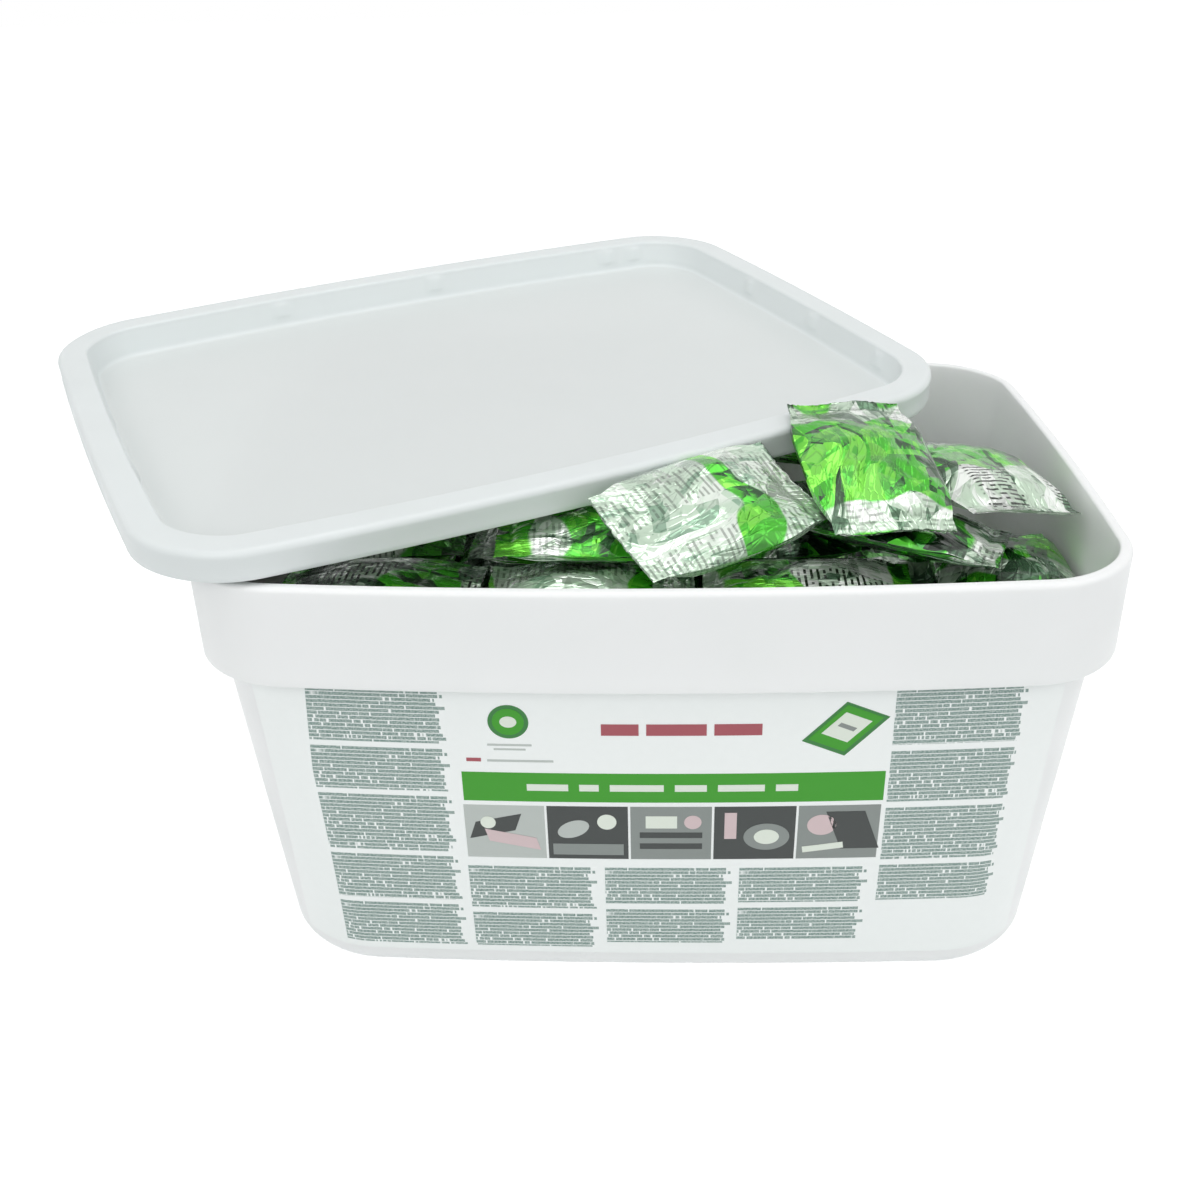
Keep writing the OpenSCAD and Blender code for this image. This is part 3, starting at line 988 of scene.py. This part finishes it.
def sachet_piece(name: str, node: bpy.types.Object, plan: Sachet, seed: int) -> bpy.types.Object:
    """Builds the film of every sachet in a node.

    Args:
        name: the new piece's name.
        node: the CAD node that it stands for.
        plan: the sachet's sizes and how finely it is drawn.
        seed: what the folds are drawn from.

    Returns:
        One object with all the node's sachets.
    """
    verts, uvs, faces, count = [], [], [], 0
    for k, triangles in enumerate(solid_parts(node)):
        centre, axes, extents = solid_pose(triangles)
        fitted = replace(plan, length=extents[0] / MM, thickness=extents[2] / MM)
        points, uv = fitted.surface(seed + 101 * k)
        verts.append(points.reshape(-1, 3) * MM @ axes.T + centre)
        uvs.append(uv.reshape(-1, 2))
        faces += [[i + count for i in face] for face in ring_faces(fitted.rings, fitted.around)]
        count += fitted.rings * fitted.around
    return make_object(name, np.concatenate(verts), faces, np.concatenate(uvs))


# Finishes


@dataclass(frozen=True)
class MouldedPlastic:
    """White polypropylene, injection moulded: satin, a little waxy, with light that seeps into it."""

    name: str
    colour: str
    # Second colour: reached in a slow random mottle, and on a marked panel as painted shade
    mottle_and_painted_shade_colour: str
    roughness: float = 0.4
    seep: float = 0.25
    seep_mm: float = 4.0
    grain_mm: float = 0.45
    sink_mm: float = 38.0
    thinning: float = 0.22
    wave_depth_mm: float = 0.6
    grain_depth_mm: float = 0.05

    def build(self, painted_panel_shade_from_uv: bool = False) -> bpy.types.Material:
        """Makes the material.

        Args:
            painted_panel_shade_from_uv: whether the first number of the piece's UV marks a recessed panel,
                which takes the second colour as painted shade.

        Returns:
            The material.
        """
        material, tree = new_material(self.name)
        place = add(tree, "TexCoord", out=3)
        # Slow unevenness of the moulding's thickness, and the fine grain of the mould
        sink = noise(tree, place, 1 / (self.sink_mm * MM), 2.0)
        grain = noise(tree, place, 1 / (self.grain_mm * MM), 1.0)
        # A slow random mottle towards the second colour; on a marked panel, painted shade in the full second
        # colour
        mottle_and_painted_shade = ramped(tree, sink, 0.35, 0.75, 0.0, self.thinning)
        if painted_panel_shade_from_uv:
            split = add(tree, "UVMap", uv_map="UVMap")
            recess = add(tree, "SeparateXYZ", split)
            mottle_and_painted_shade = calc(tree, "MAXIMUM", mottle_and_painted_shade, recess)
        colour = mixed(tree, mottle_and_painted_shade, linear(self.colour), linear(self.mottle_and_painted_shade_colour))
        rough = ramped(tree, sink, 0.3, 0.7, self.roughness - 0.05, self.roughness + 0.06)
        wavy = add(tree, "Bump", named={
            "Strength": 0.25, "Distance": self.wave_depth_mm * MM, "Height": sink
        })
        bump = add(tree, "Bump", named={
            "Strength": 0.12, "Distance": self.grain_depth_mm * MM, "Height": grain, "Normal": wavy
        })
        return surfaced(
            material, Base_Color=colour, Roughness=rough, IOR=1.49, Normal=bump, Subsurface_Weight=self.seep,
            Subsurface_Radius=(1.0, 1.0, 0.95), Subsurface_Scale=self.seep_mm * MM,
        )


@dataclass(frozen=True)
class PrintedFilm:
    """Flat ink on the label's gloss film, with the slight mottle of a printed tint."""

    name: str
    colour: str
    roughness: float = 0.32
    mottle: float = 0.01
    mottle_colour: str = "2E3A34"
    tint_mm: float = 3.5
    relief_mm: float = 0.05

    def build(self) -> bpy.types.Material:
        """Makes the material."""
        material, tree = new_material(self.name)
        place = add(tree, "TexCoord", out=3)
        tint = noise(tree, place, 1 / (self.tint_mm * MM), 3.0)
        shade = ramped(tree, tint, 0.3, 0.7, 0.0, self.mottle)
        colour = mixed(tree, shade, linear(self.colour), linear(self.mottle_colour))
        bump = add(tree, "Bump", named={"Strength": 0.1, "Distance": self.relief_mm * MM, "Height": tint})
        return surfaced(material, Base_Color=colour, Roughness=self.roughness, IOR=1.48, Normal=bump)


@dataclass(frozen=True)
class GreekedText:
    """Lines of small grey print with no letters in them, on the label's film."""

    name: str
    ink: str
    paper: str
    pitch_mm: float = 1.9
    word_mm: float = 1.5
    ragged_mm: float = 4.5
    # How far apart the lines lie in the noise that breaks them
    apart: float = 7.31
    roughness: float = 0.33

    def build(self) -> bpy.types.Material:
        """Makes the material.

        Returns:
            A material whose lines are bands of the height, broken into words by noise that is different
            on each line, and ended before the right edge by another random length.
        """
        material, tree = new_material(self.name)
        uv = add(tree, "UVMap", uv_map="UVMap")
        split = add(tree, "SeparateXYZ", uv)
        from_right, from_top = split.node.outputs[0], split.node.outputs[1]
        line = calc(tree, "MULTIPLY", from_top, 10 / self.pitch_mm)
        number = calc(tree, "FLOOR", line)
        within = calc(tree, "FRACT", line)
        centred = calc(tree, "SUBTRACT", within, 0.5)
        away = calc(tree, "ABSOLUTE", centred)
        in_line = ramped(tree, away, 0.47, 0.36)
        spread = calc(tree, "MULTIPLY", number, self.apart)
        scaled = calc(tree, "MULTIPLY", from_right, 10 / self.word_mm)
        key = add(tree, "CombineXYZ", scaled, spread)
        words = noise(tree, key, 1.0, 0.0)
        in_word = ramped(tree, words, 0.26, 0.36)
        letters = add(tree, "TexNoise", uv, named={"Scale": 12.0, "Detail": 2.0, "Roughness": 0.8})
        in_letter = ramped(tree, letters, 0.3, 0.65, 0.6, 1.0)
        end = add(tree, "TexWhiteNoise", named={"W": number}, noise_dimensions="1D")
        ragged = calc(tree, "MULTIPLY", end, self.ragged_mm / 10)
        inside = calc(tree, "GREATER_THAN", from_right, ragged)
        mask = calc(tree, "MULTIPLY", in_line, in_word)
        mask = calc(tree, "MULTIPLY", mask, in_letter)
        mask = calc(tree, "MULTIPLY", mask, inside)
        colour = mixed(tree, mask, linear(self.paper), linear(self.ink))
        return surfaced(material, Base_Color=colour, Roughness=self.roughness, IOR=1.48)


class FilmPrint(Enum):
    """How the film of a sachet is printed: mostly green, mostly bare, dark, or with lines of print."""

    GREEN = "film_green"
    SILVER = "film_silver"
    DARK = "film_dark_green"
    STRIPED = "film_striped"


@dataclass(frozen=True)
class FilmPaintedTones:
    """The three colours of one print: a painted dark reflection, its plain colour and a painted bright
    reflection.
    """

    painted_deep: str
    mid: str
    painted_bright: str

    def colour(self, tree: Tree, painted_dark: Socket, painted_bright: Socket) -> Socket:
        """Colour of the print on facets with the given shares of painted dark and of painted bright
        reflection.
        """
        lower = mixed(tree, painted_dark, linear(self.mid), linear(self.painted_deep))
        return mixed(tree, painted_bright, lower, linear(self.painted_bright))


@dataclass(frozen=True)
class SachetFilm:
    """Metallised polypropylene film, reverse printed: mirror-like where it is bare, creased all over."""

    name: str
    green: FilmPaintedTones
    bare: FilmPaintedTones
    bare_share: float
    stripes: float
    # Tone below which a facet gets the painted dark reflection
    painted_dark_level: float = 0.36
    metallic: float = 0.55
    roughness: float = 0.17
    # Slivers to each 100 mm along the sachet and across it
    slivers: tuple[float, float] = (12.0, 34.0)
    # Spacing of the fields of print, of the lines in them and of the blocks of lines, in units of 100 mm
    field_pitch: float = 0.72
    line_pitch: float = 0.026
    block_pitch: float = 0.36
    # Words to each 100 mm of a line, how far apart the lines lie in the noise, and the ink's colour
    words: float = 22.0
    apart: float = 5.7
    ink: str = "1D2A1C"

    def build(self) -> bpy.types.Material:
        """Makes the material.

        Returns:
            A material with wide wavy fields of green and bare film, lines of dark print on the bare ones,
            and flat facets with creases between them, each darkened or brightened by a painted reflection.
        """
        material, tree = new_material(self.name)
        uv = add(tree, "UVMap", uv_map="UVMap")
        bare, ink = self.prints(tree, uv)
        # Flat facets between the creases: long ones that fan out from the crimps, about 9 mm wide, ones that
        # lie across them, and slivers. Each leans its own way, which tilts its normal, and its colour
        # carries a painted reflection that shades across it.
        drift = noise(tree, uv, 3.0, 0.0, out=1)
        warp = vector(tree, "MULTIPLY_ADD", drift, (0.25, 0.25, 0.25), uv)
        painted_reflection, turned, total = 0.0, add(tree, "NewGeometry", out=1), 0.0
        for count, angle, share, tilt in (
            ((3.2, 11.0), 8.0, 1.0, 0.5), ((13.0, 5.0), 35.0, 0.6, 0.4), (self.slivers, -20.0, 0.5, 0.3)
        ):
            own_painted_reflection, lean = self.facets(tree, warp, count, angle)
            painted_reflection = calc(tree, "MULTIPLY_ADD", own_painted_reflection, share, painted_reflection)
            turned = vector(tree, "MULTIPLY_ADD", lean, (tilt,) * 3, turned)
            total += share
        painted_reflection = calc(tree, "MULTIPLY", painted_reflection, 1 / total)
        # Painted reflections: facets are darkened where they stand for mirrored dark surroundings, and
        # brightened where they stand for mirrored light
        painted_dark = ramped(tree, painted_reflection, self.painted_dark_level + 0.05, self.painted_dark_level - 0.06)
        painted_bright = ramped(tree, painted_reflection, 0.58, 0.72)
        green, silver = (tones.colour(tree, painted_dark, painted_bright) for tones in (self.green, self.bare))
        colour = mixed(tree, bare, green, silver)
        colour = mixed(tree, ink, colour, linear(self.ink))
        turned = vector(tree, "NORMALIZE", turned)
        stretched = add(tree, "Mapping", warp, named={"Scale": (*self.slivers, 1.0)})
        cells = add(tree, "TexVoronoi", stretched, named={"Scale": 1.0}, feature="DISTANCE_TO_EDGE")
        crease = ramped(tree, cells, 0.0, 0.12)
        bump = add(tree, "Bump", named={
            "Strength": 0.5, "Distance": 0.35 * MM, "Height": crease, "Normal": turned
        })
        return surfaced(
            material, Base_Color=colour, Metallic=self.metallic, Roughness=self.roughness, Normal=bump,
            Coat_Weight=0.5, Coat_Roughness=0.06,
        )

    def facets(self, tree: Tree, place: Socket, count: tuple, turn: float) -> tuple[Socket, Socket]:
        """One kind of facet.

        Args:
            tree: the material's nodes.
            place: where on the film, in units of 100 mm.
            count: facets to each 100 mm along the sachet and across it.
            turn: how far they are turned from its long axis, in degrees.

        Returns:
            The painted reflection, which is a random brightness of the facet plus its slope times the place
            along its lean, and the lean itself, a random vector for each facet.
        """
        turned = add(tree, "Mapping", place, named={
            "Rotation": (0.0, 0.0, math.radians(turn)), "Scale": (*count, 1.0)
        })
        cell = add(tree, "TexVoronoi", turned, named={"Scale": 1.0}).node.outputs
        lean = vector(tree, "SUBTRACT", cell["Color"], (0.5, 0.5, 0.5))
        within = vector(tree, "SUBTRACT", turned, cell["Position"])
        along = vector(tree, "DOT_PRODUCT", within, lean, out=1)
        random_painted_reflection = add(tree, "SeparateColor", cell["Color"])
        return calc(tree, "MULTIPLY_ADD", along, 1.1, random_painted_reflection), lean

    def prints(self, tree: Tree, uv: Socket) -> tuple[Socket, Socket]:
        """The shares of bare film and of dark print.

        Args:
            tree: the material's nodes.
            uv: the film's own coordinates, in units of 100 mm.

        Returns:
            Where the film is bare, in fields with a wandering edge that repeat each 72 mm, and where
            lines of print cross it, 2.6 mm apart and broken into words.
        """
        wander = noise(tree, uv, 3.2, 1.0)
        split = add(tree, "SeparateXYZ", uv)
        u, v = split.node.outputs[0], split.node.outputs[1]
        bent = calc(tree, "MULTIPLY_ADD", wander, 0.35, u)
        turns = calc(tree, "MULTIPLY", bent, 1 / self.field_pitch)
        part = calc(tree, "FRACT", turns)
        off = calc(tree, "SUBTRACT", part, 0.5)
        off = calc(tree, "ABSOLUTE", off)
        bare = ramped(tree, off, self.bare_share / 2 + 0.012, self.bare_share / 2 - 0.012)
        lines = calc(tree, "MULTIPLY", u, 1 / self.line_pitch)
        line = calc(tree, "FRACT", lines)
        number = calc(tree, "FLOOR", lines)
        spread = calc(tree, "MULTIPLY", number, self.apart)
        scaled = calc(tree, "MULTIPLY", v, self.words)
        key = add(tree, "CombineXYZ", spread, scaled)
        words = noise(tree, key, 1.0, 1.0)
        ink = calc(tree, "LESS_THAN", line, 0.42)
        blocks = calc(tree, "MULTIPLY", v, 1 / self.block_pitch)
        block = calc(tree, "FRACT", blocks)
        for share in (ramped(tree, words, 0.4, 0.47), ramped(tree, block, 0.56, 0.52), bare, self.stripes):
            ink = calc(tree, "MULTIPLY", ink, share)
        return bare, ink


# The studio


def seen_plainly(tree: Tree) -> Socket:
    """1 for rays from the camera, from mirrors and through clear film, and 0 for those that carry light."""
    path = add(tree, "LightPath").node.outputs
    seen = calc(tree, "MAXIMUM", path["Is Camera Ray"], path["Is Transmission Ray"])
    return calc(tree, "MAXIMUM", seen, path["Is Glossy Ray"])


@dataclass(frozen=True)
class PhotoCamera:
    """The camera that took the photograph, fitted to the tub's and the lid's outlines."""

    frame_px: float = 1200.0
    focal_px: float = 1305.236
    place_mm: tuple[float, float, float] = (-0.003, -566.466, 421.828)
    yaw: float = 2.636
    down: float = 27.829
    roll: float = -1.480
    sensor_mm: float = 36.0

    def build(self) -> None:
        """Makes the scene's camera, which looks along +Y, turned left by yaw, down by down, and rolled."""
        data = bpy.data.cameras.new("photo_camera")
        data.sensor_fit = "HORIZONTAL"
        data.sensor_width = self.sensor_mm
        data.lens = self.focal_px * self.sensor_mm / self.frame_px
        data.clip_start, data.clip_end = 0.01, 50.0
        camera = bpy.data.objects.new("photo_camera", data)
        bpy.context.scene.collection.objects.link(camera)
        yaw, down, roll = (math.radians(a) for a in (self.yaw, self.down, self.roll))
        turned = Matrix.Rotation(yaw, 4, "Z") @ Matrix.Rotation(math.pi / 2 - down, 4, "X")
        turned = turned @ Matrix.Rotation(roll, 4, "Z")
        camera.matrix_world = Matrix.Translation([c * MM for c in self.place_mm]) @ turned
        bpy.context.scene.camera = camera


@dataclass(frozen=True)
class Lamp:
    """A square soft lamp: where it hangs and what it faces, its side in metres and its power in watts."""

    name: str
    place: tuple[float, float, float]
    target: tuple[float, float, float]
    size: float
    power: float

    def build(self) -> None:
        """Makes the lamp."""
        data = bpy.data.lights.new(self.name, "AREA")
        data.shape, data.size, data.energy = "SQUARE", self.size, self.power
        lamp = bpy.data.objects.new(self.name, data)
        bpy.context.scene.collection.objects.link(lamp)
        away = Vector(self.place) - Vector(self.target)
        turn = away.to_track_quat("Z", "Y").to_matrix().to_4x4()
        lamp.matrix_world = Matrix.Translation(self.place) @ turn


@dataclass(frozen=True)
class Studio:
    """A white floor, an even soft light, and lamps left of the camera, at the right and above."""

    world_level: float = 0.54
    floor_glow: float = 0.72
    floor_half: float = 6.0
    floor_colour: str = "E6E8E8"
    lamps: tuple = (
        Lamp("key", (-0.55, -1.75, 1.25), (0.0, 0.0, 0.1), 1.0, 9.5),
        Lamp("side", (1.6, -0.6, 1.0), (0.0, 0.0, 0.1), 1.0, 4.0),
        Lamp("top", (0.05, -0.15, 1.3), (0.1, 0.0, 0.15), 0.8, 4.0),
    )

    def build(self) -> None:
        """Makes the floor, the world and the lamps, and sets the plain view transform."""
        scene = bpy.context.scene
        scene.view_settings.view_transform = "Standard"
        self.build_world(scene)
        self.build_floor()
        for lamp in self.lamps:
            lamp.build()

    def build_world(self, scene: bpy.types.Scene) -> None:
        """White where it is seen, mirrored or looked through, and a soft level elsewhere."""
        world = bpy.data.worlds.new("studio")
        world.use_nodes = True
        tree = world.node_tree
        tree.nodes.clear()
        level = ramped(tree, seen_plainly(tree), 0.0, 1.0, self.world_level, 1.0)
        light = add(tree, "Background", linear("FFFFFF"), level)
        add(tree, "OutputWorld", light)
        scene.world = world

    def build_floor(self) -> None:
        """A wide white floor that keeps the object's soft shadow."""
        half = self.floor_half
        corners = np.array([[-half, -half, 0], [half, -half, 0], [half, half, 0], [-half, half, 0]])
        floor = make_object("studio_floor", corners, [[0, 1, 2, 3]])
        material, tree = new_material("white_floor")
        diffuse = add(tree, "BsdfDiffuse", linear(self.floor_colour))
        glow = calc(tree, "MULTIPLY", seen_plainly(tree), self.floor_glow)
        light = add(tree, "Emission", linear("FFFFFF"), glow)
        add(tree, "OutputMaterial", add(tree, "AddShader", diffuse, light))
        floor.data.materials.append(material)


# The whole tub


LOOSE, PACKED = Sachet(), Sachet(rings=30, around=32)

LOOSE_PRINTS = {
    1: FilmPrint.STRIPED, 2: FilmPrint.SILVER, 3: FilmPrint.STRIPED, 4: FilmPrint.GREEN, 5: FilmPrint.DARK,
    6: FilmPrint.GREEN, 7: FilmPrint.DARK, 8: FilmPrint.GREEN, 9: FilmPrint.SILVER, 10: FilmPrint.STRIPED,
    11: FilmPrint.SILVER, 12: FilmPrint.GREEN, 17: FilmPrint.DARK, 18: FilmPrint.GREEN,
}


def film_materials() -> dict[FilmPrint, bpy.types.Material]:
    """A material for each of the four prints of the sachets' film."""
    # Each print's painted dark reflection, plain colour and painted bright reflection
    lime = FilmPaintedTones("0F4414", "43B424", "7ADD42")
    leaf = FilmPaintedTones("07210B", "1F7A1D", "4FC02C")
    silver = FilmPaintedTones("54755A", "C3D8C2", "F6FBF5")
    pale = FilmPaintedTones("8FB197", "C9DEC9", "EAF4E9")
    films = {
        FilmPrint.GREEN: SachetFilm(FilmPrint.GREEN.value, lime, silver, 0.2, 0.4),
        FilmPrint.SILVER: SachetFilm(FilmPrint.SILVER.value, lime, pale, 0.8, 0.5, painted_dark_level=0.28),
        FilmPrint.DARK: SachetFilm(FilmPrint.DARK.value, leaf, silver, 0.22, 0.6, painted_dark_level=0.5),
        FilmPrint.STRIPED: SachetFilm(FilmPrint.STRIPED.value, lime, silver, 0.55, 1.0),
    }
    return {key: film.build() for key, film in films.items()}


@dataclass
class TabletTub:
    """The whole object: tub, lid, label and sachets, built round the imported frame."""

    frame: dict

    def settle(self, piece: bpy.types.Object, node: str) -> None:
        """Lets a piece stand for a CAD node.

        Args:
            piece: the finished piece.
            node: the node that it replaces.
        """
        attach(piece, BODY)
        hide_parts(node)
        LOG.info("%s stands for %s: %d faces", piece.name, node, len(piece.data.polygons))

    def build_mouldings(self) -> None:
        """Builds the tub, the lid and the label."""
        low, high = (np.array(corner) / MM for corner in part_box("tub"))
        tub = Tub(*(high - low))
        pattern = OutlinePattern()
        shell = tub.build(pattern)
        white = MouldedPlastic("polypropylene_tub", "FAFCFC", "F3F8F6")
        shell.data.materials.append(white.build())
        self.settle(shell, "tub")
        lid = Lid(tub)
        cover = lid.build(pattern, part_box("lid")[1][2])
        # The lid is the tub's plastic, darkened as painted shade on its top, and darker still on its
        # recessed panel
        lid_white_with_painted_shade = MouldedPlastic("polypropylene_lid_painted_shade", "E4EAEA", "DEE3E2")
        cover.data.materials.append(lid_white_with_painted_shade.build(painted_panel_shade_from_uv=True))
        self.settle(cover, "lid")
        inks = {ink: PrintedFilm(*ink.value).build() for ink in Ink if ink is not Ink.TEXT}
        inks[Ink.TEXT] = GreekedText(*Ink.TEXT.value, Ink.PAPER.value[1]).build()
        self.settle(Label(tub).build(inks), "label")

    def build_sachets(self) -> None:
        """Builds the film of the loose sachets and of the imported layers."""
        films = film_materials()
        kinds = list(FilmPrint)
        for name in sorted(n for n in self.frame["nodes"] if n.startswith(("sachet_", "bed_layer_"))):
            number = int(name.rsplit("_", 1)[1])
            is_loose = name.startswith("sachet_")
            kind = LOOSE_PRINTS.get(number, kinds[number % len(kinds)]) if is_loose else FilmPrint.GREEN
            plan = LOOSE if is_loose else PACKED
            seed = 1000 * number + 7 * is_loose
            piece = sachet_piece(f"film_{name}", self.frame["nodes"][name], plan, seed)
            piece.data.materials.append(films[kind])
            if not is_loose:
                self.vary(piece, films)
            self.settle(piece, name)

    def vary(self, piece: bpy.types.Object, films: dict[FilmPrint, bpy.types.Material]) -> None:
        """Gives the sachets of a packed layer different prints, each from its own material."""
        piece.data.materials.clear()
        for kind in FilmPrint:
            piece.data.materials.append(films[kind])
        each = len(ring_faces(PACKED.rings, PACKED.around))
        index = (np.arange(len(piece.data.polygons)) // each) * 3 % len(FilmPrint)
        piece.data.polygons.foreach_set("material_index", index.astype(np.int32))


def main() -> None:
    logging.basicConfig(level=logging.INFO, format="%(name)s: %(message)s")
    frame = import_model()
    PhotoCamera().build()
    Studio().build()
    tub = TabletTub(frame)
    tub.build_mouldings()
    tub.build_sachets()
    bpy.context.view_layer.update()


if __name__ == "__main__":
    main()
